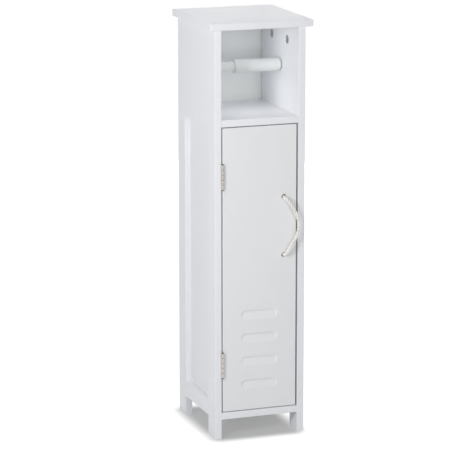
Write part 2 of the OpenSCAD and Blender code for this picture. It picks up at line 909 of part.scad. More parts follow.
top_panel();
front_post(true);  // left_front_post
rear_post(true);  // left_rear_post
upper_board(true);  // left_upper_board
lower_rail(true);  // left_lower_rail
infill_panel(true);  // left_infill_panel
front_post(false);  // right_front_post
rear_post(false);  // right_rear_post
upper_board(false);  // right_upper_board
lower_rail(false);  // right_lower_rail
infill_panel(false);  // right_infill_panel
shelf_panel();
bottom_panel();
back_panel();
back_panel_nails();
top_cam_locks();
shelf_cam_locks();
bottom_cam_locks();
top_cam_bolts();
shelf_cam_bolts();
bottom_cam_bolts();
corner_dowels();
side_frame_dowels();
door_panel();
hinge_frame_leaf(0);  // upper_hinge_frame_leaf
hinge_door_leaf(0);  // upper_hinge_door_leaf
hinge_pin(0);  // upper_hinge_pin
hinge_frame_leaf(1);  // lower_hinge_frame_leaf
hinge_door_leaf(1);  // lower_hinge_door_leaf
hinge_pin(1);  // lower_hinge_pin
hinge_frame_screws();
hinge_door_screws();
rope_handle();
rope_knot(1);  // upper_rope_knot
rope_knot(-1);  // lower_rope_knot
catch_housing();
catch_magnet();
catch_poles();
catch_screws();
strike_plate();
strike_screws();
roller_outer_tube();
roller_inner_tube();
roller_spring();
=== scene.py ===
import json
import math

import bmesh
import bpy
from mathutils import Matrix, Vector


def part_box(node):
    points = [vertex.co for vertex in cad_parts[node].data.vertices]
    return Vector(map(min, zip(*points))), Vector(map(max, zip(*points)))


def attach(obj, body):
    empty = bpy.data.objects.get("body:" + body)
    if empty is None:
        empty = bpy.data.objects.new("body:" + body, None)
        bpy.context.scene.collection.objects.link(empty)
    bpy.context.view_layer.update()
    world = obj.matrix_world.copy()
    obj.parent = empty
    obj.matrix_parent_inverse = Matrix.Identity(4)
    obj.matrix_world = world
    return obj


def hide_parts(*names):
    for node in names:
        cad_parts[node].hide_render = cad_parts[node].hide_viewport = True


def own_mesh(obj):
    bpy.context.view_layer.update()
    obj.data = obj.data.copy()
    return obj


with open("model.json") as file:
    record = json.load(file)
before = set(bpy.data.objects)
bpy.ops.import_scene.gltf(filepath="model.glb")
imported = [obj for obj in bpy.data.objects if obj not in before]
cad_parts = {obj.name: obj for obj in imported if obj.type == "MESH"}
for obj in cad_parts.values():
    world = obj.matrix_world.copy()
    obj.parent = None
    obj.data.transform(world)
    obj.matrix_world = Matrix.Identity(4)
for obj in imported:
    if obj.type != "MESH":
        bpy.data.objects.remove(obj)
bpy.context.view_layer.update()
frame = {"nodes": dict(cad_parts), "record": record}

mm = 0.001
rightWay = Vector((1, 0, 0))
backWay = Vector((0, 1, 0))
upWay = Vector((0, 0, 1))
print("stage 1: frame loaded,", len(frame["nodes"]), "nodes")


# Small helpers for modelling

def deselect():
    if bpy.context.object and bpy.context.object.mode != "OBJECT":
        bpy.ops.object.mode_set(mode="OBJECT")
    bpy.ops.object.select_all(action="DESELECT")


def makeActive(piece):
    deselect()
    piece.select_set(True)
    bpy.context.view_layer.objects.active = piece


def settle(piece):
    # The finished mesh holds its own place, and the object sits at the origin
    makeActive(piece)
    bpy.ops.object.transform_apply(location=True, rotation=True, scale=True)


def addBox(name, low, high):
    deselect()
    low, high = Vector(low), Vector(high)
    bpy.ops.mesh.primitive_cube_add(size=1, location=(low + high) / 2)
    box = bpy.context.object
    box.name = name
    box.scale = high - low
    settle(box)
    return box


def addRod(name, start, end, radius, vertices=48):
    deselect()
    start, end = Vector(start), Vector(end)
    run = end - start
    bpy.ops.mesh.primitive_cylinder_add(
        vertices=vertices, radius=radius, depth=run.length, location=(start + end) / 2,
        rotation=run.to_track_quat("Z", "Y").to_euler())
    rod = bpy.context.object
    rod.name = name
    settle(rod)
    return rod


def pick(piece, kind, test):
    # In edit mode, with only the vertices, edges or faces that pass the test selected
    makeActive(piece)
    bpy.ops.object.mode_set(mode="EDIT")
    bpy.ops.mesh.select_mode(type=kind)
    bpy.ops.mesh.select_all(action="DESELECT")
    mesh = bmesh.from_edit_mesh(piece.data)
    for part in {"VERT": mesh.verts, "EDGE": mesh.edges, "FACE": mesh.faces}[kind]:
        part.select_set(test(part))
    mesh.select_flush_mode()
    bmesh.update_edit_mesh(piece.data)


def roundEdges(piece, radius, test, segments):
    pick(piece, "EDGE", test)
    bpy.ops.mesh.bevel(offset=radius, segments=segments, affect="EDGES", clamp_overlap=True)
    bpy.ops.object.mode_set(mode="OBJECT")


def middle(edge):
    return (edge.verts[0].co + edge.verts[1].co) / 2


def edgeRun(edge):
    return edge.verts[1].co - edge.verts[0].co


def isSharp(edge, degrees):
    return edge.is_manifold and edge.calc_face_angle(0) > math.radians(degrees)


def faceOutwards():
    # In edit mode: doubles merged, and every face turned to look out
    bpy.ops.mesh.select_all(action="SELECT")
    bpy.ops.mesh.remove_doubles(threshold=1e-6)
    bpy.ops.mesh.normals_make_consistent(inside=False)


def combine(piece, other, operation):
    makeActive(piece)
    change = piece.modifiers.new("combine", "BOOLEAN")
    change.operation = operation
    change.solver = "EXACT"
    change.object = other
    bpy.ops.object.modifier_apply(modifier=change.name)
    bpy.data.objects.remove(other)


def cutAway(piece, cutter):
    combine(piece, cutter, "DIFFERENCE")


def weld(piece, other):
    combine(piece, other, "UNION")


def roundOutline(corners):
    # Corners are (radius, along, rounding) in mm, and a rounding becomes an arc in short steps
    points = []
    for i, (radius, along, rounding) in enumerate(corners):
        corner = Vector((radius, along))
        if rounding == 0:
            points.append(corner)
            continue
        before = (Vector(corners[i - 1][:2]) - corner).normalized()
        after = (Vector(corners[(i + 1) % len(corners)][:2]) - corner).normalized()
        half = before.angle(after) / 2
        centre = corner + (before + after).normalized() * rounding / math.cos(half)
        start = corner + before * rounding - centre
        end = corner + after * rounding - centre
        steps = 3 if rounding < 1 else 7
        for k in range(steps + 1):
            share = k / steps
            way = start * math.cos(share * math.pi / 2) + end * math.sin(share * math.pi / 2)
            points.append(centre + way.normalized() * start.length)
    return points


def turnOutline(name, corners, origin, axis, steps):
    # Turns an outline, whose two ends lie on the axis, into a closed round shape
    points = roundOutline(corners)
    origin, axis = Vector(origin), Vector(axis).normalized()
    side = axis.orthogonal().normalized()
    deselect()
    bpy.ops.mesh.primitive_circle_add(vertices=len(points), radius=1, fill_type="NOTHING")
    piece = bpy.context.object
    piece.name = name
    settle(piece)
    for vertex, (radius, along) in zip(piece.data.vertices, points):
        vertex.co = origin + (side * radius + axis * along) * mm
    ends = {0, len(points) - 1}
    pick(piece, "EDGE", lambda edge: {v.index for v in edge.verts} == ends)
    bpy.ops.mesh.delete(type="EDGE")
    bpy.ops.mesh.select_all(action="SELECT")
    bpy.ops.mesh.spin(steps=steps, angle=2 * math.pi, center=origin, axis=axis)
    faceOutwards()
    bpy.ops.object.mode_set(mode="OBJECT")
    smoothFaces(piece)
    return piece


def placeCopies(model, name, places):
    # A place is where the model's origin, its X way and its Z way go
    copies = []
    for place, acrossWay, faceWay in places:
        other = model.copy()
        other.data = model.data.copy()
        bpy.context.scene.collection.objects.link(other)
        turn = Matrix((acrossWay, faceWay.cross(acrossWay), faceWay)).transposed().to_4x4()
        other.data.transform(Matrix.Translation(place) @ turn)
        copies.append(other)
    deselect()
    for other in copies:
        other.select_set(True)
    bpy.context.view_layer.objects.active = copies[0]
    bpy.ops.object.join()
    copies[0].name = name
    return copies[0]


def smoothFaces(piece, degrees=35, keepFlat=True):
    makeActive(piece)
    bpy.ops.object.shade_smooth_by_angle(angle=math.radians(degrees))
    if keepFlat:
        # Large faces keep their own direction, so that only the rounded edges shade round
        even = piece.modifiers.new("even", "WEIGHTED_NORMAL")
        even.keep_sharp = True
        bpy.ops.object.modifier_apply(modifier=even.name)


def finishPiece(piece, body, slotName, node):
    piece.data.materials.clear()
    piece.data.materials.append(slotMaterials[slotName])
    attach(piece, body)
    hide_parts(node)
    return piece


# Camera: where the photograph was taken from, with a long lens
cameraSet = {
    "place": (-1.438, -3.978, 1.289),
    "azimuth": -19.72,
    "elevation": 12.77,
    "lens": 194.5,
    "sensorWidth": 36,
    "clipStart": 0.1,
    "clipEnd": 60,
}


def addCamera():
    deselect()
    tilt = math.radians(90 - cameraSet["elevation"])
    turn = math.radians(cameraSet["azimuth"])
    bpy.ops.object.camera_add(location=cameraSet["place"], rotation=(tilt, 0, turn))
    camera = bpy.context.object
    camera.name = "camera"
    camera.data.sensor_width = cameraSet["sensorWidth"]
    camera.data.lens = cameraSet["lens"]
    camera.data.clip_start = cameraSet["clipStart"]
    camera.data.clip_end = cameraSet["clipEnd"]
    bpy.context.scene.camera = camera


addCamera()


# Materials

def linear(hexColour):
    # sRGB hex to linear colour
    parts = [int(hexColour[i:i + 2], 16) / 255 for i in (1, 3, 5)]
    parts = [p / 12.92 if p <= 0.04045 else ((p + 0.055) / 1.055) ** 2.4 for p in parts]
    return (*parts, 1.0)


def addNode(tree, kind, settings=None, links=None):
    node = tree.nodes.new(kind)
    for name, value in (settings or {}).items():
        if isinstance(name, str) and hasattr(node, name):
            setattr(node, name, value)
        else:
            node.inputs[name].default_value = value
    for name, source in (links or {}).items():
        tree.links.new(source, node.inputs[name])
    return node


def emptyTree(owner):
    owner.use_nodes = True
    owner.node_tree.nodes.clear()
    return owner.node_tree


def startMaterial(name, settings):
    material = bpy.data.materials.new(name)
    tree = emptyTree(material)
    shader = addNode(tree, "ShaderNodeBsdfPrincipled", settings)
    addNode(tree, "ShaderNodeOutputMaterial", links={"Surface": shader.outputs["BSDF"]})
    place = addNode(tree, "ShaderNodeTexCoord")
    return material, tree, shader, place


def perMetre(sizeInMm):
    # Scale of a noise whose blots are about this large
    return 1000 / sizeInMm


def makeSurface(name, colours, tone, relief, bump, sheen=None, settings=None, stretch=(1, 1, 1)):
    # Tone and relief are noises, each given by its blots' size in mm and its detail. Tone wanders
    # from the dark colour to the light one, and relief raises bumps of a strength and a depth in
    # mm. Sheen names one of the two, and turns a range of it into a range of roughness. Where the
    # stretch is small, the pattern runs along that axis
    material, tree, shader, place = startMaterial(name, settings)
    along = addNode(tree, "ShaderNodeMapping", {"Scale": stretch},
                    {"Vector": place.outputs["Object"]})
    noises = {}
    for use, (blot, detail) in (("tone", tone), ("relief", relief)):
        noise = addNode(tree, "ShaderNodeTexNoise", {"Scale": perMetre(blot), "Detail": detail},
                        {"Vector": along.outputs["Vector"]})
        noises[use] = noise.outputs["Fac"]
    dark, light = colours
    mixed = addNode(tree, "ShaderNodeMix",
                    {"data_type": "RGBA", 6: linear(dark), 7: linear(light)}, {0: noises["tone"]})
    strength, depth = bump
    raised = addNode(tree, "ShaderNodeBump", {"Strength": strength, "Distance": depth * mm},
                     {"Height": noises["relief"]})
    tree.links.new(mixed.outputs[2], shader.inputs["Base Color"])
    tree.links.new(raised.outputs["Normal"], shader.inputs["Normal"])
    if sheen:
        use, low, high, smooth, rough = sheen
        gloss = addNode(tree, "ShaderNodeMapRange",
                        {"From Min": low, "From Max": high, "To Min": smooth, "To Max": rough},
                        {"Value": noises[use]})
        tree.links.new(gloss.outputs["Result"], shader.inputs["Roughness"])
    return material


def makeLacquer(name, colours, roughness):
    # Satin polyurethane lacquer, sprayed on fibreboard and sanded between coats: an even, soft
    # sheen with a faint orange peel about 2 mm across, and tone that wanders over a hand's width
    return makeSurface(name, colours, (70, 3), (2, 2), (0.12, 0.04),
                       ("tone", 0.3, 0.7, roughness - 0.05, roughness + 0.05), {"IOR": 1.5})


def makeMetal(name, colours, roughness, grain, depth, stretch=(1, 1, 1)):
    # Bare or plated: tone and gloss wander together, with the marks of the tool or the mould
    return makeSurface(name, colours, (grain, 4), (grain, 4), (0.35, depth),
                       ("tone", 0, 1, roughness - 0.08, roughness + 0.1), {"Metallic": 1.0},
                       stretch)


def makePlastic(name, colours, roughness, coat):
    # Moulded polypropylene: milky and even, with the mould's fine spark texture 0.5 mm across
    return makeSurface(name, colours, (25, 2), (0.5, 2), (0.1, 0.03),
                       ("tone", 0, 1, roughness - 0.04, roughness + 0.06),
                       {"IOR": 1.49, "Coat Weight": coat, "Coat Roughness": 0.25})


def makeCotton():
    # Natural cotton rope, laid from three strands of spun yarn: matt and cream, with a fuzz that
    # lightens the edges, and painted shade between the yarns. The UV map runs along each strand in
    # mm, and round it from 0 to 1
    material, tree, shader, place = startMaterial(
        "laidCotton", {"Roughness": 0.92, "Sheen Weight": 0.35, "Sheen Roughness": 0.5})
    yarns = {"count": 7, "twistMm": 6.5}
    strand = addNode(tree, "ShaderNodeSeparateXYZ", links={"Vector": place.outputs["UV"]})
    turn = addNode(tree, "ShaderNodeMath", {"operation": "DIVIDE", 1: yarns["twistMm"]},
                   {0: strand.outputs["X"]})
    lay = addNode(tree, "ShaderNodeMath", {"operation": "ADD"},
                  {0: turn.outputs["Value"], 1: strand.outputs["Y"]})
    wave = addNode(tree, "ShaderNodeMath", {"operation": "MULTIPLY", 1: yarns["count"] * math.pi},
                   {0: lay.outputs["Value"]})
    ridge = addNode(tree, "ShaderNodeMath", {"operation": "SINE"}, {0: wave.outputs["Value"]})
    yarn = addNode(tree, "ShaderNodeMath", {"operation": "ABSOLUTE"}, {0: ridge.outputs["Value"]})
    fuzz = addNode(tree, "ShaderNodeTexNoise", {"Scale": perMetre(0.35), "Detail": 5.0},
                   {"Vector": place.outputs["Object"]})
    height = addNode(tree, "ShaderNodeMath", {"operation": "MULTIPLY_ADD", 1: 0.6},
                     {0: yarn.outputs["Value"], 2: fuzz.outputs["Fac"]})
    # Painted shade: the colour follows the yarn's height, darker down between the yarns and
    # lighter on their crowns, with the fuzz's random tone mixed in
    tone = addNode(tree, "ShaderNodeMix",
                   {"data_type": "RGBA", 6: linear("#e8e5dd"), 7: linear("#f8f6f0")},
                   {0: height.outputs["Value"]})
    bump = addNode(tree, "ShaderNodeBump", {"Strength": 0.5, "Distance": 0.0002},
                   {"Height": height.outputs["Value"]})
    tree.links.new(tone.outputs[2], shader.inputs["Base Color"])
    tree.links.new(bump.outputs["Normal"], shader.inputs["Normal"])
    return material


slotMaterials = {
    "carcass_lacquer": makeLacquer("carcassLacquer", ("#eff0f3", "#f3f4f7"), 0.42),
    # The door has the carcass's paint, a little glossier; its colour is a little darker and less
    # blue, as painted shade
    "door_lacquer": makeLacquer("doorLacquerPaintedShade", ("#ededee", "#f0f0f1"), 0.4),
    # Melamine-faced hardboard: flatter than the lacquer, with a fine pressed grain 0.8 mm apart
    "back_board": makeSurface("melamineHardboard", ("#e8ebea", "#eef0ee"), (90, 2), (0.8, 4),
                              (0.15, 0.04), ("relief", 0, 1, 0.45, 0.6), {"IOR": 1.5}),
    # Bare turned beech: pale brown, with grain lines about 1 mm apart along the dowel
    "beech": makeSurface("turnedBeech", ("#b98f5c", "#dfc191"), (1, 5), (1, 5), (0.3, 0.06),
                         settings={"Roughness": 0.62}, stretch=(1, 1, 0.1)),
    # Die-cast zinc: dull grey with a grainy skin
    "zinc_diecast": makeMetal("dieCastZinc", ("#a9acb0", "#cfd1d4"), 0.46, 0.6, 0.03),
    # Nickel plate on pressed steel: warm, bright, with fine lengthwise draw marks
    "nickel_steel": makeMetal("nickelPlate", ("#a19d96", "#cfccc5"), 0.24, 0.4, 0.01,
                              (1, 1, 0.08)),
    # Drawn steel wire and cut plate: cooler and darker than the nickel
    "bare_steel": makeMetal("drawnSteel", ("#7d8085", "#a9acb0"), 0.33, 0.4, 0.01, (1, 1, 0.15)),
    # Steel of the hinge pins, far darker than the nickel and smooth on the turned heads: the dark
    # heads are painted shade for the dark spot at each barrel's top
    "dark_steel": makeMetal("darkPinSteelPaintedShade", ("#37373a", "#57575a"), 0.36, 0.5, 0.008),
    # Sintered ferrite: charcoal, dull and slightly pitted
    "ferrite": makeMetal("sinteredFerrite", ("#2e2e31", "#4a4a4d"), 0.62, 0.8, 0.05),
    "cotton_rope": makeCotton(),
    "holder_plastic": makePlastic("holderPolypropylene", ("#e1e3e2", "#e5e7e6"), 0.38, 0.15),
    "catch_plastic": makePlastic("catchPolypropylene", ("#e8e8e6", "#eeeeec"), 0.45, 0.0),
}

for part in frame["record"]["subparts"]:
    node = frame["nodes"][part["node"]]
    node.data.materials.clear()
    node.data.materials.append(slotMaterials[part["material_slot"]])
print("stage 2: materials made")


# Rope pull, and a knot at each of its ends. Sizes are in mm, and crease is an angle
ropeSet = {
    "radius": 3.0,
    "lay": 17.0,
    "strands": 3,
    "sides": 14,
    "step": 0.7,
    "finePieces": 24,
    "firstSide": (1, 0, 0.01),
    "crease": 50,
}
knotSet = {
    "turns": 2.0,
    "pointsInTurns": 18,
    "wrapRadius": 4.5,
    "squeeze": 0.8,
    "firstTurn": 3.0,
    "lastTurn": 8.4,
    "inHole": -0.1,
    "outOfHole": (0.4, 1.2, 0),
    # Beyond the last turn, and then back from the tail's end
    "pastTurns": (2.6, 1.8, 2.4),
    "tail": [(0.4, -8.0, 1.2), (0, -4.5, 0.2), (0.3, -0.2, -0.6)],
    # Shares of the length where the rope swells again and where its strands open, and how far
    "swellsFrom": 0.8,
    "opensFrom": 0.95,
    "opensBy": 0.55,
}


def smoothPath(points, step):
    # A Catmull-Rom curve through the points, cut into equal steps
    ends = [points[0] * 2 - points[1], *points, points[-1] * 2 - points[-2]]
    fine = []
    for i in range(len(points) - 1):
        a, b, c, d = ends[i:i + 4]
        for k in range(ropeSet["finePieces"]):
            t = k / ropeSet["finePieces"]
            fine.append(0.5 * (2 * b + (c - a) * t + (2 * a - 5 * b + 4 * c - d) * t ** 2
                               + (3 * b - a - 3 * c + d) * t ** 3))
    fine.append(points[-1].copy())
    lengths = [0.0]
    for a, b in zip(fine, fine[1:]):
        lengths.append(lengths[-1] + (b - a).length)
    count = max(2, round(lengths[-1] / step))
    path, k = [], 0
    for i in range(count + 1):
        goal = lengths[-1] * i / count
        while k < len(lengths) - 2 and lengths[k + 1] < goal:
            k += 1
        share = (goal - lengths[k]) / max(lengths[k + 1] - lengths[k], 1e-9)
        path.append(fine[k].lerp(fine[k + 1], min(share, 1.0)))
    return path, lengths[-1]


def pathFrames(path, firstSide):
    # Two directions across the path at each point, carried along it without twisting
    side = Vector(firstSide)
    frames = []
    for i in range(len(path)):
        ahead = (path[min(i + 1, len(path) - 1)] - path[max(i - 1, 0)]).normalized()
        side = (side - ahead * side.dot(ahead)).normalized()
        frames.append((side.copy(), ahead.cross(side), ahead))
    return frames


def layRope(name, path, length, squeeze=lambda share: 1.0, spread=lambda share: 1.0):
    # Lays the strands round the path: squeeze scales the whole rope, spread opens the lay
    count = ropeSet["strands"]
    strandRadius = ropeSet["radius"] * mm / (1 + 1 / math.sin(math.pi / count))
    strandOff = ropeSet["radius"] * mm - strandRadius
    sides = ropeSet["sides"]
    frames = pathFrames(path, ropeSet["firstSide"])
    vertices, faces, along = [], [], []
    for strand in range(count):
        first = len(vertices)
        for i, point in enumerate(path):
            share = i / (len(path) - 1)
            scale = squeeze(share)
            side, other, ahead = frames[i]
            run = length * share
            turn = 2 * math.pi * (run / (ropeSet["lay"] * mm) + strand / count)
            out = side * math.cos(turn) + other * math.sin(turn)
            centre = point + out * strandOff * scale * spread(share)
            across = ahead.cross(out)
            for k in range(sides):
                angle = 2 * math.pi * k / sides
                vertices.append(centre + (out * math.cos(angle) + across * math.sin(angle))
                                * strandRadius * scale)
                along.append((run / mm, k / sides))
        last = len(vertices) - sides
        for i in range(len(path) - 1):
            for k in range(sides):
                a = first + i * sides + k
                b = first + i * sides + (k + 1) % sides
                faces.append((a, b, b + sides, a + sides))
        faces.append(tuple(reversed(range(first, first + sides))))
        faces.append(tuple(range(last, last + sides)))
    mesh = bpy.data.meshes.new(name)
    mesh.from_pydata(vertices, [], faces)
    layer = mesh.uv_layers.new(name="strand")
    for polygon in mesh.polygons:
        # The last facet round a strand runs on to 1, and not back to 0
        turns = [along[v][1] for v in polygon.vertices]
        wraps = polygon.loop_total == 4 and max(turns) > 1 - 1.5 / sides
        for loop in polygon.loop_indices:
            u, v = along[mesh.loops[loop].vertex_index]
            layer.data[loop].uv = (u, 1.0 if wraps and v == 0.0 else v)
    rope = bpy.data.objects.new(name, mesh)
    bpy.context.scene.collection.objects.link(rope)
    smoothFaces(rope, ropeSet["crease"], keepFlat=False)
    return rope


# Right, back and up from the middle of the pull on the door's front, in metres
ropeRoute = [
    (0.0004, 0.012, 0.0492), (0.0004, 0.006, 0.0492), (0.0004, 0, 0.0492),
    (0.0008, -0.005, 0.0485), (0.003, -0.0085, 0.0455), (0.007, -0.010, 0.040),
    (0.012, -0.010, 0.032), (0.017, -0.0105, 0.023), (0.021, -0.0105, 0.014),
    (0.023, -0.0105, 0.005), (0.023, -0.0105, -0.004), (0.021, -0.0105, -0.013),
    (0.017, -0.0105, -0.022), (0.012, -0.010, -0.030), (0.007, -0.010, -0.038),
    (0.0032, -0.0085, -0.0445), (0.001, -0.005, -0.0484), (0.0006, 0, -0.0494),
    (0.0006, 0.006, -0.0494), (0.0006, 0.012, -0.0494),
]


def centreOf(node):
    low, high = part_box(node)
    return (low + high) / 2


doorLow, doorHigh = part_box("door_panel")
upperHole = centreOf("upper_rope_knot")
lowerHole = centreOf("lower_rope_knot")
pullMiddle = Vector((upperHole.x, doorLow.y, (upperHole.z + lowerHole.z) / 2))


def addKnot(name, node, hole, lean):
    # A stopper knot: the rope leaves the hole, takes two turns and ends in a loose tail
    tail = (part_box(node)[1].y - doorHigh.y) / mm
    mouth = Vector((hole.x, doorHigh.y, hole.z))
    firstTurn, lastTurn = knotSet["firstTurn"], knotSet["lastTurn"]
    points = [(lean.x / mm, knotSet["inHole"], lean.z / mm), knotSet["outOfHole"]]
    for i in range(knotSet["pointsInTurns"] + 1):
        share = i / knotSet["pointsInTurns"]
        angle = 2 * math.pi * knotSet["turns"] * share
        points.append((knotSet["wrapRadius"] * math.cos(angle),
                       firstTurn + (lastTurn - firstTurn) * share,
                       knotSet["wrapRadius"] * math.sin(angle)))
    x, y, z = knotSet["pastTurns"]
    points.append((x, lastTurn + y, z))
    points += [(x, tail + y, z) for x, y, z in knotSet["tail"]]
    path, length = smoothPath([mouth + Vector(p) * mm for p in points], ropeSet["step"] * mm)

    def beyond(share, start):
        return max(0.0, (share - start) / (1 - start))

    def squeeze(share):
        tight = knotSet["squeeze"]
        return tight + (1 - tight) * beyond(share, knotSet["swellsFrom"])

    def spread(share):
        return 1.0 + knotSet["opensBy"] * beyond(share, knotSet["opensFrom"]) ** 2

    knot = layRope(name, path, length, squeeze, spread)
    return finishPiece(knot, "door", "cotton_rope", node)


def addRopePull():
    route = [pullMiddle + Vector(p) for p in ropeRoute]
    path, length = smoothPath(route, ropeSet["step"] * mm)
    rope = layRope("ropePull", path, length)
    finishPiece(rope, "door", "cotton_rope", "rope_handle")
    knots = [addKnot("upperKnot", "upper_rope_knot", upperHole, route[0] - upperHole),
             addKnot("lowerKnot", "lower_rope_knot", lowerHole, route[-1] - lowerHole)]
    print("stage 3: rope laid,", round(length / mm), "mm")


addRopePull()


# Carcass: lacquered boards with softened edges, cut for the parts that they hold
carcassSet = {
    "freeEdge": 0.8,
    "topEdge": 1.5,
    "jointEdge": 0.35,
    "infillEdge": 0.2,
    "grooveShadow": 2.2,
    "groovePlay": 0.2,
    "borePlay": 0.1,
    "socketRadius": 4.1,
    "socketPlay": 0.5,
    # How far a cutter runs past what it cuts
    "past": 1.0,
}
backBoxLow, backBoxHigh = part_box("back_panel")
frontY = doorLow.y
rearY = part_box("top_panel")[1].y
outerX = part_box("right_front_post")[1].x
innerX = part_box("shelf_panel")[1].x
past = carcassSet["past"] * mm
groovePlay = carcassSet["groovePlay"] * mm

# The four cam locks of a node are alike, and stand in two rows
topCamLow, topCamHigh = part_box("top_cam_locks")
camRadius = (topCamHigh.z - topCamLow.z) / 2
camDepth = topCamHigh.x - innerX
camRows = topCamLow.y + camRadius, topCamHigh.y - camRadius
camHeight = (topCamLow.z + topCamHigh.z) / 2
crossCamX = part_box("shelf_cam_locks")[1].x - camRadius
camSpots = [(sign, y) for sign in (-1, 1) for y in camRows]


def grow(low, high, amount):
    return Vector(low) - Vector(amount), Vector(high) + Vector(amount)


def addBoard(name, node, isFree, freeEdge=carcassSet["freeEdge"]):
    # As large as its node: free edges are rounded, and joint edges only broken
    board = addBox(name, *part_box(node))
    roundEdges(board, freeEdge * mm, lambda edge: isFree(middle(edge)), 4)
    roundEdges(board, carcassSet["jointEdge"] * mm, lambda edge: isSharp(edge, 60), 2)
    return board


def finishBoard(board, node):
    smoothFaces(board)
    finishPiece(board, "carcass", "carcass_lacquer", node)


def near(value, goal):
    return abs(value - goal) < 1e-5


def cutBackGroove(board):
    # The groove's front lip is broken, which leaves the fine dark line along the back panel
    low, high = grow(backBoxLow, backBoxHigh, (groovePlay, 0, groovePlay))
    cutAway(board, addBox("groove", low - backWay * carcassSet["grooveShadow"] * mm,
                          high + backWay * groovePlay))


def cutRebate(board, side):
    low, high = grow(*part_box(side + "_infill_panel"), (0, groovePlay, groovePlay))
    if side == "left":
        high.x += past
    else:
        low.x -= past
    cutAway(board, addBox("rebate", low, high))


def cutCamBores(board, face, into, places):
    play = carcassSet["borePlay"] * mm
    for place in places:
        centre = Vector(place)
        centre += into * (face - centre.dot(into))
        cutAway(board, addRod("bore", centre - into * past, centre + into * (camDepth + play),
                              camRadius + play))


def addSide(side):
    sign = -1 if side == "left" else 1
    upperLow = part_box(side + "_upper_board")[0]
    railMiddle = centreOf(side + "_lower_rail")
    front = addBoard(side + "FrontPost", side + "_front_post",
                     lambda place: near(place.y, frontY) and place.z > past)
    rear = addBoard(side + "RearPost", side + "_rear_post",
                    lambda place: near(place.y, rearY) and place.z > past)
    upper = addBoard(side + "UpperBoard", side + "_upper_board",
                     lambda place: near(place.z, upperLow.z) and near(abs(place.x), outerX))
    rail = addBoard(side + "LowerRail", side + "_lower_rail",
                    lambda place: near(place.y, railMiddle.y) and near(abs(place.x), outerX))
    for board in (front, rear, upper, rail):
        cutRebate(board, side)
    cutBackGroove(rear)
    cutCamBores(upper, innerX, rightWay * sign, [(0, y, camHeight) for y in camRows])
    # The socket of the roll holder's end pin
    pin = centreOf("roller_outer_tube")
    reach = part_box("roller_outer_tube")[1].x + carcassSet["socketPlay"] * mm
    cutAway(upper, addRod("socket", (sign * (innerX - past), pin.y, pin.z),
                          (sign * reach, pin.y, pin.z), carcassSet["socketRadius"] * mm))
    infill = addBox(side + "InfillPanel", *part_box(side + "_infill_panel"))
    roundEdges(infill, carcassSet["infillEdge"] * mm, lambda edge: True, 2)
    for board, node in ((front, "_front_post"), (rear, "_rear_post"), (upper, "_upper_board"),
                        (rail, "_lower_rail"), (infill, "_infill_panel")):
        finishBoard(board, side + node)


def addCrossBoard(name, node):
    board = addBoard(name, node,
                     lambda place: near(place.y, frontY) and abs(place.x) < innerX / 2)
    places = [(sign * crossCamX, y, 0) for sign, y in camSpots]
    cutCamBores(board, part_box(node)[0].z, upWay, places)
    finishBoard(board, node)


def addCarcass():
    addSide("left")
    addSide("right")
    addCrossBoard("shelfPanel", "shelf_panel")
    addCrossBoard("bottomPanel", "bottom_panel")
    top = addBoard("topPanel", "top_panel", lambda place: True, carcassSet["topEdge"])
    cutBackGroove(top)
    finishBoard(top, "top_panel")
    print("stage 4: carcass made")


addCarcass()


# Cam locks: zinc discs, dished inside the rim, with a cross slot and an arrow to the bolt
camSet = {
    "edge": 0.3,
    "rim": 0.9,
    "dishWall": 0.25,
    "dish": 0.35,
    "slotLength": 9.0,
    "slotWidth": 2.2,
    "slotDepth": 2.6,
    "arrowRadius": 0.96,
    "arrowDepth": 1.2,
    "arrowFromEdge": 2.1,
}


def cutCross(piece, length, width, depth):
    # Two slots across each other in the face on z = 0, with sizes in mm
    for x, y in ((length, width), (width, length)):
        half = Vector((x / 2, y / 2, 0)) * mm
        cutAway(piece, addBox("slot", -half - upWay * depth * mm, half + upWay * past))


def modelCamLock():
    # Drawn with its face up on z = 0 and its arrow along +X
    lock = addRod("camLock", (0, 0, -camDepth), (0, 0, 0), camRadius, 64)
    pick(lock, "FACE", lambda face: face.normal.z > 0.9)
    bpy.ops.mesh.inset(thickness=camSet["rim"] * mm, depth=0)
    bpy.ops.mesh.inset(thickness=camSet["dishWall"] * mm, depth=-camSet["dish"] * mm)
    bpy.ops.object.mode_set(mode="OBJECT")
    roundEdges(lock, camSet["edge"] * mm, lambda edge: near(middle(edge).z, 0)
               and middle(edge).length > camRadius * 0.95, 2)
    cutCross(lock, camSet["slotLength"], camSet["slotWidth"], camSet["slotDepth"])
    deselect()
    bpy.ops.mesh.primitive_cylinder_add(
        vertices=3, radius=camSet["arrowRadius"] * mm, depth=camSet["arrowDepth"] * mm,
        location=(camRadius - camSet["arrowFromEdge"] * mm, 0, -camSet["dish"] * mm),
        rotation=(0, 0, math.radians(-90)))
    arrow = bpy.context.object
    settle(arrow)
    cutAway(lock, arrow)
    smoothFaces(lock)
    return lock


def addCamLocks():
    model = modelCamLock()
    # The top's locks lie in the sides and point up, the others lie in their boards' undersides
    groups = {"top": [((sign * innerX, y, camHeight), upWay, rightWay * -sign)
                      for sign, y in camSpots]}
    for level in ("shelf", "bottom"):
        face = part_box(level + "_panel")[0].z
        groups[level] = [((sign * crossCamX, y, face), rightWay * sign, -upWay)
                         for sign, y in camSpots]
    for level, places in groups.items():
        locks = placeCopies(model, level + "CamLocks", places)
        finishPiece(locks, "carcass", "zinc_diecast", level + "_cam_locks")
    bpy.data.objects.remove(model)
    print("stage 5: cam locks made")


addCamLocks()


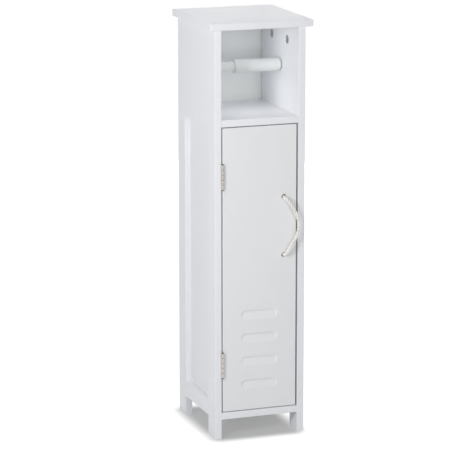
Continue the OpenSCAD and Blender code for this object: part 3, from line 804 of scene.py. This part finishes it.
# Door: one lacquered board with scooped louvres and two holes for the rope
doorSet = {
    "edge": 0.65,
    "louvres": 4,
    "louvreLength": 66.0,
    "louvreHeight": 17.0,
    "louvreDepth": 2.4,
    "louvreWall": 5.0,
    "louvreLead": 0.7,
    "louvreBlend": 4,
    "louvreSteps": 13,
    "louvreSpine": 0.7,
    "louvreSides": 64,
    "louvreLip": 0.4,
    "louvrePitch": 40.5,
    "lowestLouvre": 36.0,
    "holeRim": 0.25,
    "ropeHole": 4.0,
    "rimFromEdge": 3.0,
}


def scoopDepth(inFromEdge, up):
    # In mm: a soft wall all round the outline, met by a ramp that sinks from the lower edge
    deep, wall, lead = (doorSet[name] for name in ("louvreDepth", "louvreWall", "louvreLead"))

    def softRise(share):
        share = min(max(share, 0.0), 1.0)
        return share * share * (3 - 2 * share)

    rim = softRise(lead / (wall + lead))
    side = deep * (softRise((inFromEdge + lead) / (wall + lead)) - rim) / (1 - rim)
    ramp = deep * up / (doorSet["louvreHeight"] - wall)
    if side <= 0 or ramp <= 0:
        return min(side, ramp)
    blend = doorSet["louvreBlend"]
    return (side ** -blend + ramp ** -blend) ** (-1 / blend)


def addLouvreCutter(height):
    # A round plate drawn out to a bar with round ends, ringed, and sunk ring by ring
    lip, steps, sides = (doorSet[name] for name in ("louvreLip", "louvreSteps", "louvreSides"))
    half = doorSet["louvreHeight"] / 2
    straight = doorSet["louvreLength"] / 2 - half
    middleX = (doorLow.x + doorHigh.x) / 2
    deselect()
    bpy.ops.mesh.primitive_circle_add(
        vertices=sides, radius=(half + lip) * mm, fill_type="NGON",
        location=(middleX, frontY, height + half * mm), rotation=(math.pi / 2, math.pi / sides, 0))
    cutter = bpy.context.object
    settle(cutter)
    for sign in (-1, 1):
        pick(cutter, "VERT", lambda vertex: (vertex.co.x - middleX) * sign > 0)
        bpy.ops.transform.translate(value=(sign * straight * mm, 0, 0))
    # The innermost ring leaves a narrow spine, a share of a step wide
    pick(cutter, "FACE", lambda face: True)
    for i in range(steps):
        bpy.ops.mesh.inset(thickness=(half + lip) / (steps + doorSet["louvreSpine"]) * mm, depth=0)
    bpy.ops.mesh.select_all(action="SELECT")
    bpy.ops.mesh.quads_convert_to_tris()
    bpy.ops.object.mode_set(mode="OBJECT")
    for vertex in cutter.data.vertices:
        across = max(abs(vertex.co.x - middleX) / mm - straight, 0.0)
        up = (vertex.co.z - height) / mm
        vertex.co.y = frontY + scoopDepth(half - math.hypot(across, up - half), up) * mm
    pick(cutter, "EDGE", lambda edge: edge.is_boundary)
    bpy.ops.mesh.extrude_region_move(TRANSFORM_OT_translate={"value": (0, -2 * past, 0)})
    bpy.ops.mesh.edge_face_add()
    faceOutwards()
    bpy.ops.object.mode_set(mode="OBJECT")
    return cutter


def addDoor():
    door = addBox("doorPanel", doorLow, doorHigh)
    roundEdges(door, doorSet["edge"] * mm, lambda edge: True, 4)
    lowest = doorLow.z + doorSet["lowestLouvre"] * mm
    for i in range(doorSet["louvres"]):
        cutAway(door, addLouvreCutter(lowest + i * doorSet["louvrePitch"] * mm))
    for hole in (upperHole, lowerHole):
        cutAway(door, addRod("ropeHole", (hole.x, frontY - past, hole.z),
                             (hole.x, doorHigh.y + past, hole.z), doorSet["ropeHole"] * mm, 64))
    inside = doorSet["rimFromEdge"] * mm

    def isRim(edge):
        place = middle(edge)
        onFace = all(near(vertex.co.y, frontY) or near(vertex.co.y, doorHigh.y)
                     for vertex in edge.verts)
        return (onFace and isSharp(edge, 50) and doorLow.x + inside < place.x < doorHigh.x - inside
                and doorLow.z + inside < place.z < doorHigh.z - inside)

    roundEdges(door, doorSet["holeRim"] * mm, isRim, 3)
    smoothFaces(door, 40)
    finishPiece(door, "door", "door_lacquer", "door_panel")
    print("stage 6: door made")


addDoor()


# Screws, drawn along -Z with the head's face on z = 0
screwSet = {
    "headRadius": 2.4,
    "headDepth": 1.4,
    "headRound": 0.12,
    "shankRadius": 1.25,
    "length": 9.0,
    "point": 1.6,
    "crossLength": 2.8,
    "crossWidth": 0.55,
    "crossDepth": 0.8,
    "holePlay": 0.05,
    "holeDepth": 4.0,
}


def modelScrew():
    head, shank = screwSet["headRadius"], screwSet["shankRadius"]
    tip, point = screwSet["length"], screwSet["point"]
    screw = turnOutline("screw", [
        (0, 0, 0), (head, 0, screwSet["headRound"]), (shank, -screwSet["headDepth"], 0),
        (shank, point - tip, 0), (0, -tip, 0)], (0, 0, 0), upWay, 32)
    cutCross(screw, screwSet["crossLength"], screwSet["crossWidth"], screwSet["crossDepth"])
    smoothFaces(screw)
    return screw


screwModel = modelScrew()


def addScrews(name, node, body, places):
    finishPiece(placeCopies(screwModel, name, places), body, "nickel_steel", node)


def countersink(piece, places):
    head = screwSet["headRadius"] + screwSet["holePlay"]
    shank = screwSet["shankRadius"] + screwSet["holePlay"]
    above, deep = carcassSet["past"], screwSet["holeDepth"]
    for place, _, faceWay in places:
        cutAway(piece, turnOutline("sink", [
            (0, above, 0), (head, above, 0), (head, 0, 0), (shank, -screwSet["headDepth"], 0),
            (shank, -deep, 0), (0, -deep, 0)], place, faceWay, 32))


# Butt hinges: pressed leaves rolled round a riveted pin
hingeSet = {
    "knuckles": 5,
    "knuckleGap": 0.3,
    "knuckleEdge": 0.7,
    "leafThick": 0.9,
    "leafGap": 0.2,
    "leafCorner": 1.2,
    "leafEdge": 0.2,
    "pinRadius": 1.2,
    "pinHead": 1.2,
    "pinDome": 0.6,
    "pinEdge": 0.1,
    "pinPlay": 0.05,
    "screwRise": 13.5,
    "screwFromPin": 8.8,
}


def addLeaf(name, node, body, pin, sign, first):
    # Returns the places of the leaf's two screws
    low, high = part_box(node)
    radius = (pin.y - low.y) / mm
    gap = hingeSet["knuckleGap"]
    pitch = (high.z - low.z) / mm / hingeSet["knuckles"]
    inner = pin.x + sign * hingeSet["leafGap"] / 2 * mm
    outer = inner + sign * hingeSet["leafThick"] * mm
    leaf = addBox(name, (min(inner, outer), pin.y, low.z), (max(inner, outer), high.y, high.z))
    roundEdges(leaf, hingeSet["leafCorner"] * mm, lambda edge: near(middle(edge).y, high.y)
               and near(edgeRun(edge).z, 0), 4)
    roundEdges(leaf, hingeSet["leafEdge"] * mm, lambda edge: isSharp(edge, 60)
               and middle(edge).y > pin.y + radius * mm, 2)
    for k in range(first, hingeSet["knuckles"], 2):
        bottom, top = k * pitch + gap / 2, (k + 1) * pitch - gap / 2
        weld(leaf, turnOutline("knuckle", [
            (0, bottom, 0), (radius, bottom, hingeSet["knuckleEdge"]),
            (radius, top, hingeSet["knuckleEdge"]), (0, top, 0)],
            (pin.x, pin.y, low.z), upWay, 48))
    for k in range(1 - first, hingeSet["knuckles"], 2):
        bottom, top = k * pitch - gap / 2, (k + 1) * pitch + gap / 2
        cutAway(leaf, addRod("notch", (pin.x, pin.y, low.z + bottom * mm),
                             (pin.x, pin.y, low.z + top * mm), (radius + gap) * mm))
    cutAway(leaf, addRod("pinHole", (pin.x, pin.y, low.z - past), (pin.x, pin.y, high.z + past),
                         (hingeSet["pinRadius"] + hingeSet["pinPlay"]) * mm, 32))
    places = [((inner, pin.y + hingeSet["screwFromPin"] * mm,
                pin.z + rise * hingeSet["screwRise"] * mm), upWay, rightWay * -sign)
              for rise in (-1, 1)]
    countersink(leaf, places)
    smoothFaces(leaf, 30)
    finishPiece(leaf, body, "nickel_steel", node)
    return places


def addHinges():
    # Each side's body, its way from the pin, and its first knuckle from below
    sides = {"frame": ("carcass", -1, 0), "door": ("door", 1, 1)}
    screwPlaces = {"frame": [], "door": []}
    for which in ("upper", "lower"):
        pin = centreOf(which + "_hinge_pin")
        for side, (body, sign, first) in sides.items():
            screwPlaces[side] += addLeaf(which + "Hinge" + side.capitalize() + "Leaf",
                                         f"{which}_hinge_{side}_leaf", body, pin, sign, first)
        low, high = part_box(which + "_hinge_pin")
        tall = (high.z - low.z) / mm
        head, shaft, thick = (high.x - low.x) / 2 / mm, hingeSet["pinRadius"], hingeSet["pinHead"]
        dome, edge = hingeSet["pinDome"], hingeSet["pinEdge"]
        rivet = turnOutline(which + "HingePin", [
            (0, 0, 0), (head, 0, dome), (head, thick, edge), (shaft, thick, 0),
            (shaft, tall - thick, 0), (head, tall - thick, edge), (head, tall, dome),
            (0, tall, 0)], (pin.x, pin.y, low.z), upWay, 32)
        finishPiece(rivet, "carcass", "dark_steel", which + "_hinge_pin")
    for side, places in screwPlaces.items():
        addScrews("hinge" + side.capitalize() + "Screws", f"hinge_{side}_screws", sides[side][0],
                  places)
    print("stage 7: hinges made")


addHinges()


# Roll holder: two moulded tubes, one sliding inside the other
holderSet = {
    "edge": 0.3,
    "mouthRound": 1.9,
    "collarLength": 24.0,
    "slope": 0.8,
    "tubeRadius": 11.0,
    "nose": 4.0,
    "noseRound": 0.9,
    "smallRadius": 8.7,
    "smallRound": 1.6,
    "lipRadius": 9.0,
    "lipLength": 6.0,
    "bore": 9.9,
    "endWall": 3.0,
    "pinRadius": 4.0,
    "pinLength": 6.0,
    "pinRound": 0.8,
    "pinRoot": 0.5,
    "bossRadius": 5.1,
    "bossLength": 4.0,
    "flangeLength": 3.0,
    "flangeEdge": 0.2,
    "springBore": 6.9,
    "springSeat": 20.0,
    "coreRadius": 4.8,
}


def addTube(name, node, body, corners):
    middleLine = centreOf("roller_outer_tube")
    origin = (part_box(node)[0].x, middleLine.y, middleLine.z)
    tube = turnOutline(name, corners, origin, rightWay, 96)
    finishPiece(tube, body, "holder_plastic", node)


def addHolder():
    # Corners are (radius, along, rounding) in mm, from each tube's own left end
    low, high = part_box("roller_outer_tube")
    collar = (high.z - low.z) / 2 / mm
    long = (high.x - low.x) / mm - holderSet["pinLength"]
    pin, pinRound, pinRoot = (holderSet[name] for name in ("pinRadius", "pinRound", "pinRoot"))
    pinEnd = long + holderSet["pinLength"]
    tube, boss, nose = holderSet["tubeRadius"], holderSet["bossRadius"], holderSet["nose"]
    bore, seatRadius = holderSet["bore"], holderSet["springBore"]
    inside = long - holderSet["endWall"]
    bossEnd = inside - holderSet["bossLength"]
    lip, lipEnd = holderSet["lipRadius"], holderSet["lipLength"]
    collarEnd, slope = holderSet["collarLength"], holderSet["slope"]
    edge, thinEdge, noseRound = holderSet["edge"], holderSet["flangeEdge"], holderSet["noseRound"]
    addTube("rollerOuterTube", "roller_outer_tube", "roller", [
        (0, bossEnd, 0), (boss, bossEnd, edge), (boss, inside, edge), (seatRadius, inside, edge),
        (bore, inside - bore + seatRadius, edge), (bore, lipEnd, 0),
        (lip, lipEnd - slope, thinEdge), (lip, 0, edge),
        (collar, 0, holderSet["mouthRound"]), (collar, collarEnd - slope, edge),
        (tube, collarEnd, edge), (tube, long - nose, noseRound), (tube - nose, long, noseRound),
        (pin, long, pinRoot), (pin, pinEnd, pinRound), (0, pinEnd, 0)])

    low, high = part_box("roller_inner_tube")
    small, flange = holderSet["smallRadius"], (high.z - low.z) / 2 / mm
    start, end = holderSet["pinLength"], (high.x - low.x) / mm
    flangeStart, seat = end - holderSet["flangeLength"], end - holderSet["springSeat"]
    core, coreEnd = holderSet["coreRadius"], start + holderSet["endWall"]
    addTube("rollerInnerTube", "roller_inner_tube", "roller_plunger", [
        (0, 0, 0), (pin, 0, pinRound), (pin, start, pinRoot),
        (small, start, holderSet["smallRound"]), (small, flangeStart, thinEdge),
        (flange, flangeStart, thinEdge), (flange, end, edge), (seatRadius, end, edge),
        (seatRadius, seat, 0), (core, seat, edge), (core, coreEnd, 0), (0, coreEnd, 0)])
    print("stage 8: roll holder made")


addHolder()


# Compression spring inside the holder, coiled from steel wire
springSet = {
    "wireRadius": 0.6,
    "turns": 16,
    "stepsPerTurn": 20,
    "wireSides": 12,
    "crease": 50,
    "travel": 8.0,
    # How far each end of the coil stands short of the faces that it presses on
    "endGap": 0.085,
}


def addSpring():
    low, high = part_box("roller_spring")
    middleLine = centreOf("roller_spring")
    wire = springSet["wireRadius"] * mm
    coilRadius = (high.z - low.z) / 2 - wire
    start, run = low.x + wire, high.x - low.x - 2 * wire
    deselect()
    bpy.ops.mesh.primitive_circle_add(vertices=springSet["wireSides"], radius=wire,
                                      location=(0, 0, coilRadius), rotation=(math.pi / 2, 0, 0))
    spring = bpy.context.object
    spring.name = "rollerSpring"
    settle(spring)
    coil = spring.modifiers.new("coil", "SCREW")
    coil.axis = "X"
    coil.iterations = springSet["turns"]
    coil.screw_offset = run / springSet["turns"]
    coil.steps = coil.render_steps = springSet["stepsPerTurn"]
    bpy.ops.object.modifier_apply(modifier=coil.name)
    pick(spring, "EDGE", lambda edge: edge.is_boundary)
    bpy.ops.mesh.fill_holes(sides=0)
    faceOutwards()
    bpy.ops.object.mode_set(mode="OBJECT")
    spring.location = (start, middleLine.y, middleLine.z)
    settle(spring)
    smoothFaces(spring, springSet["crease"], keepFlat=False)
    finishPiece(spring, "roller", "bare_steel", "roller_spring")
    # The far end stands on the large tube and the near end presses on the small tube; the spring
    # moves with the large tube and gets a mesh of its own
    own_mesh(spring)
    print("stage 9: spring coiled")


addSpring()


# Magnetic catch under the shelf, and its strike plate on the door
catchSet = {
    "wall": 2.0,
    "earThick": 3.0,
    "earCorner": 3.0,
    "bodyEdge": 1.2,
    "edge": 0.3,
    "strikeCorner": 1.8,
    "strikeEdge": 0.25,
}


def screwDown(piece, body, slotName, node, faceWay, name, screws):
    # Two screws side by side, with their heads flush in the face that looks along faceWay
    low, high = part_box(screws)
    face = centreOf(screws) + faceWay * abs((high - low).dot(faceWay)) / 2
    reach = (high.x - low.x) / 2 - screwSet["headRadius"] * mm
    places = [(face + rightWay * reach * sign, rightWay, faceWay) for sign in (-1, 1)]
    countersink(piece, places)
    smoothFaces(piece)
    finishPiece(piece, body, slotName, node)
    addScrews(name, screws, body, places)


def addCatch():
    low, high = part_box("catch_housing")
    magnetLow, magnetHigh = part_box("catch_magnet")
    polesLow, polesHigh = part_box("catch_poles")
    wall = catchSet["wall"] * mm
    housing = addBox("catchHousing", (magnetLow.x - wall, low.y, low.z),
                     (magnetHigh.x + wall, high.y, high.z))
    roundEdges(housing, catchSet["bodyEdge"] * mm, lambda edge: near(middle(edge).z, low.z)
               and not near(middle(edge).y, low.y), 4)
    ears = addBox("ears", (low.x, low.y, high.z - catchSet["earThick"] * mm), high)
    roundEdges(ears, catchSet["earCorner"] * mm,
               lambda edge: near(abs(edgeRun(edge).z), catchSet["earThick"] * mm), 6)
    roundEdges(ears, catchSet["edge"] * mm, lambda edge: isSharp(edge, 60)
               and middle(edge).z < high.z - past, 2)
    weld(housing, ears)
    cutAway(housing, addBox("slot", (magnetLow.x, low.y - past, polesLow.z),
                            (magnetHigh.x, magnetHigh.y, polesHigh.z)))
    screwDown(housing, "carcass", "catch_plastic", "catch_housing", -upWay,
              "catchScrews", "catch_screws")

    low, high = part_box("strike_plate")
    plate = addBox("strikePlate", low, high)
    roundEdges(plate, catchSet["strikeCorner"] * mm,
               lambda edge: near(abs(edgeRun(edge).y), high.y - low.y), 6)
    roundEdges(plate, catchSet["strikeEdge"] * mm, lambda edge: isSharp(edge, 60)
               and near(middle(edge).y, high.y), 2)
    screwDown(plate, "door", "nickel_steel", "strike_plate", backWay,
              "strikeScrews", "strike_screws")
    print("stage 10: catch made")


addCatch()
bpy.data.objects.remove(screwModel)


# Nails that hold the back panel, with flat heads a little domed
nailSet = {
    "shankRadius": 0.8,
    "headRadius": 2.0,
    "headThick": 0.6,
    "headEdge": 0.1,
    "dome": 0.35,
    "length": 14.0,
    "point": 2.0,
    "across": 3,
}


def addNails():
    low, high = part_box("back_panel_nails")
    head, shank, thick = (nailSet[name] for name in ("headRadius", "shankRadius", "headThick"))
    tip = -nailSet["length"]
    model = turnOutline("nail", [
        (0, tip, 0), (shank, tip + nailSet["point"], 0), (shank, 0, 0),
        (head, 0, nailSet["headEdge"]), (head, thick, nailSet["dome"]), (0, thick, 0)],
        (0, 0, 0), upWay, 32)
    first, last = low.x + head * mm, high.x - head * mm
    step = (last - first) / (nailSet["across"] - 1)
    places = [((first + i * step, backBoxHigh.y, z), rightWay, backWay)
              for i in range(nailSet["across"]) for z in (low.z + head * mm, high.z - head * mm)]
    nails = placeCopies(model, "backPanelNails", places)
    bpy.data.objects.remove(model)
    finishPiece(nails, "carcass", "bare_steel", "back_panel_nails")
    print("stage 11: nails made")


addNails()


# Floor, background and light. The shadow painted on the floor under the cabinet has its middle,
# half size and fade in metres
stageSet = {
    "floorSize": 30.0,
    "floorColour": "#dedede",
    "floorSeenColour": "#a0a0a0",
    "paintedShadowGlow": 0.24,
    "glowAround": 0.92,
    "paintedShadowMiddle": (-0.004, 0.003, 0.0),
    "paintedShadowHalf": (0.064, 0.088, 0.0),
    "paintedShadowFade": 0.038,
    "worldColour": "#fafcff",
    "worldStrength": 0.332,
}


def seenDirectly(tree):
    # 1 for what the camera sees, also in metal and glass, and 0 for light that bounces
    rays = addNode(tree, "ShaderNodeLightPath")
    seen = addNode(tree, "ShaderNodeMath", {"operation": "MAXIMUM"},
                   {0: rays.outputs["Is Camera Ray"], 1: rays.outputs["Is Glossy Ray"]})
    return addNode(tree, "ShaderNodeMath", {"operation": "MAXIMUM"},
                   {0: seen.outputs["Value"], 1: rays.outputs["Is Transmission Ray"]})


def makeFloorPaper():
    # White studio paper: its glow washes out the lamps' own shadows. In a soft-edged box under the
    # cabinet the glow is weak, a painted shadow laid over the real one that the cabinet throws
    # there
    material = bpy.data.materials.new("studioPaper")
    tree = emptyTree(material)
    place = addNode(tree, "ShaderNodeTexCoord")
    fromMiddle = addNode(tree, "ShaderNodeVectorMath",
                         {"operation": "SUBTRACT", 1: stageSet["paintedShadowMiddle"]},
                         {0: place.outputs["Object"]})
    folded = addNode(tree, "ShaderNodeVectorMath", {"operation": "ABSOLUTE"},
                     {0: fromMiddle.outputs["Vector"]})
    beyond = addNode(tree, "ShaderNodeVectorMath",
                     {"operation": "SUBTRACT", 1: stageSet["paintedShadowHalf"]},
                     {0: folded.outputs["Vector"]})
    outside = addNode(tree, "ShaderNodeVectorMath", {"operation": "MAXIMUM", 1: (0, 0, 0)},
                      {0: beyond.outputs["Vector"]})
    distance = addNode(tree, "ShaderNodeVectorMath", {"operation": "LENGTH"},
                       {0: outside.outputs["Vector"]})
    # Painted shadow: weak glow inside the box under the cabinet, rising to full glow across the
    # fade
    strength = addNode(tree, "ShaderNodeMapRange", {
        "interpolation_type": "SMOOTHSTEP", "From Max": stageSet["paintedShadowFade"],
        "To Min": stageSet["paintedShadowGlow"], "To Max": stageSet["glowAround"]},
        {"Value": distance.outputs["Value"]})
    paint = addNode(tree, "ShaderNodeBsdfDiffuse", {"Color": linear(stageSet["floorColour"])})
    seenPaint = addNode(tree, "ShaderNodeBsdfDiffuse",
                        {"Color": linear(stageSet["floorSeenColour"])})
    glow = addNode(tree, "ShaderNodeEmission", {"Color": (1, 1, 1, 1)},
                   {"Strength": strength.outputs["Result"]})
    lit = addNode(tree, "ShaderNodeAddShader", links={0: seenPaint.outputs[0], 1: glow.outputs[0]})
    mixed = addNode(tree, "ShaderNodeMixShader", links={
        0: seenDirectly(tree).outputs["Value"], 1: paint.outputs[0], 2: lit.outputs[0]})
    addNode(tree, "ShaderNodeOutputMaterial", links={"Surface": mixed.outputs[0]})
    return material


def addStage():
    deselect()
    bpy.ops.mesh.primitive_plane_add(size=stageSet["floorSize"], location=(0, 0, 0))
    floor = bpy.context.object
    floor.name = "floor"
    floor.data.materials.append(makeFloorPaper())

    world = bpy.data.worlds.new("studio")
    bpy.context.scene.world = world
    tree = emptyTree(world)
    room = addNode(tree, "ShaderNodeBackground", {
        "Color": linear(stageSet["worldColour"]), "Strength": stageSet["worldStrength"]})
    white = addNode(tree, "ShaderNodeBackground", {"Color": (1, 1, 1, 1), "Strength": 1.0})
    mixed = addNode(tree, "ShaderNodeMixShader", links={
        0: seenDirectly(tree).outputs["Value"], 1: room.outputs[0], 2: white.outputs[0]})
    addNode(tree, "ShaderNodeOutputWorld", links={"Surface": mixed.outputs[0]})


# Each lamp: place, what it points at, size and power
lamps = {
    "keyLamp": {"place": (-0.93, -0.86, 0.74), "aim": (0, 0, 0.5), "size": 0.32, "power": 6.4},
    "sideLamp": {"place": (-1.15, 0.05, 1.0), "aim": (0, 0, 0.5), "size": 0.7, "power": 1.7},
    "frontLamp": {"place": (-0.08, -1.6, 0.72), "aim": (0, 0, 0.65), "size": 0.6, "power": 4.9},
    "rearLamp": {"place": (0.8, 2.2, 0.5), "aim": (0, 0, 0.4), "size": 0.9, "power": 13.0},
    # One lamp straight above the top, and one that fills the right side
    "topLamp": {"place": (0, 0, 1.3), "aim": (0, 0.001, 0.7), "size": 0.16, "power": 0.78},
    "rightLamp": {"place": (1.2, 0.5, 0.6), "aim": (0, 0.1, 0.4), "size": 0.5, "power": 2.6},
    # Two small lamps fill the open bay: one hung under the roll holder, one above it
    "bayLamp": {"place": (0, -0.022, 0.605), "aim": (0, -0.021, 0.5), "size": 0.1, "power": 0.018},
    "bayTopLamp": {"place": (-0.02, -0.033, 0.693), "aim": (-0.02, -0.032, 0.5), "size": 0.1,
                   "power": 0.019},
}


def addLamps():
    for name, lamp in lamps.items():
        deselect()
        place = Vector(lamp["place"])
        aim = (Vector(lamp["aim"]) - place).to_track_quat("-Z", "Y").to_euler()
        bpy.ops.object.light_add(type="AREA", location=place, rotation=aim)
        light = bpy.context.object
        light.name = name
        light.data.size = lamp["size"]
        light.data.energy = lamp["power"]
        light.visible_camera = False


addStage()
addLamps()
bpy.context.scene.view_settings.view_transform = "Standard"
print("stage 12: floor and light set")
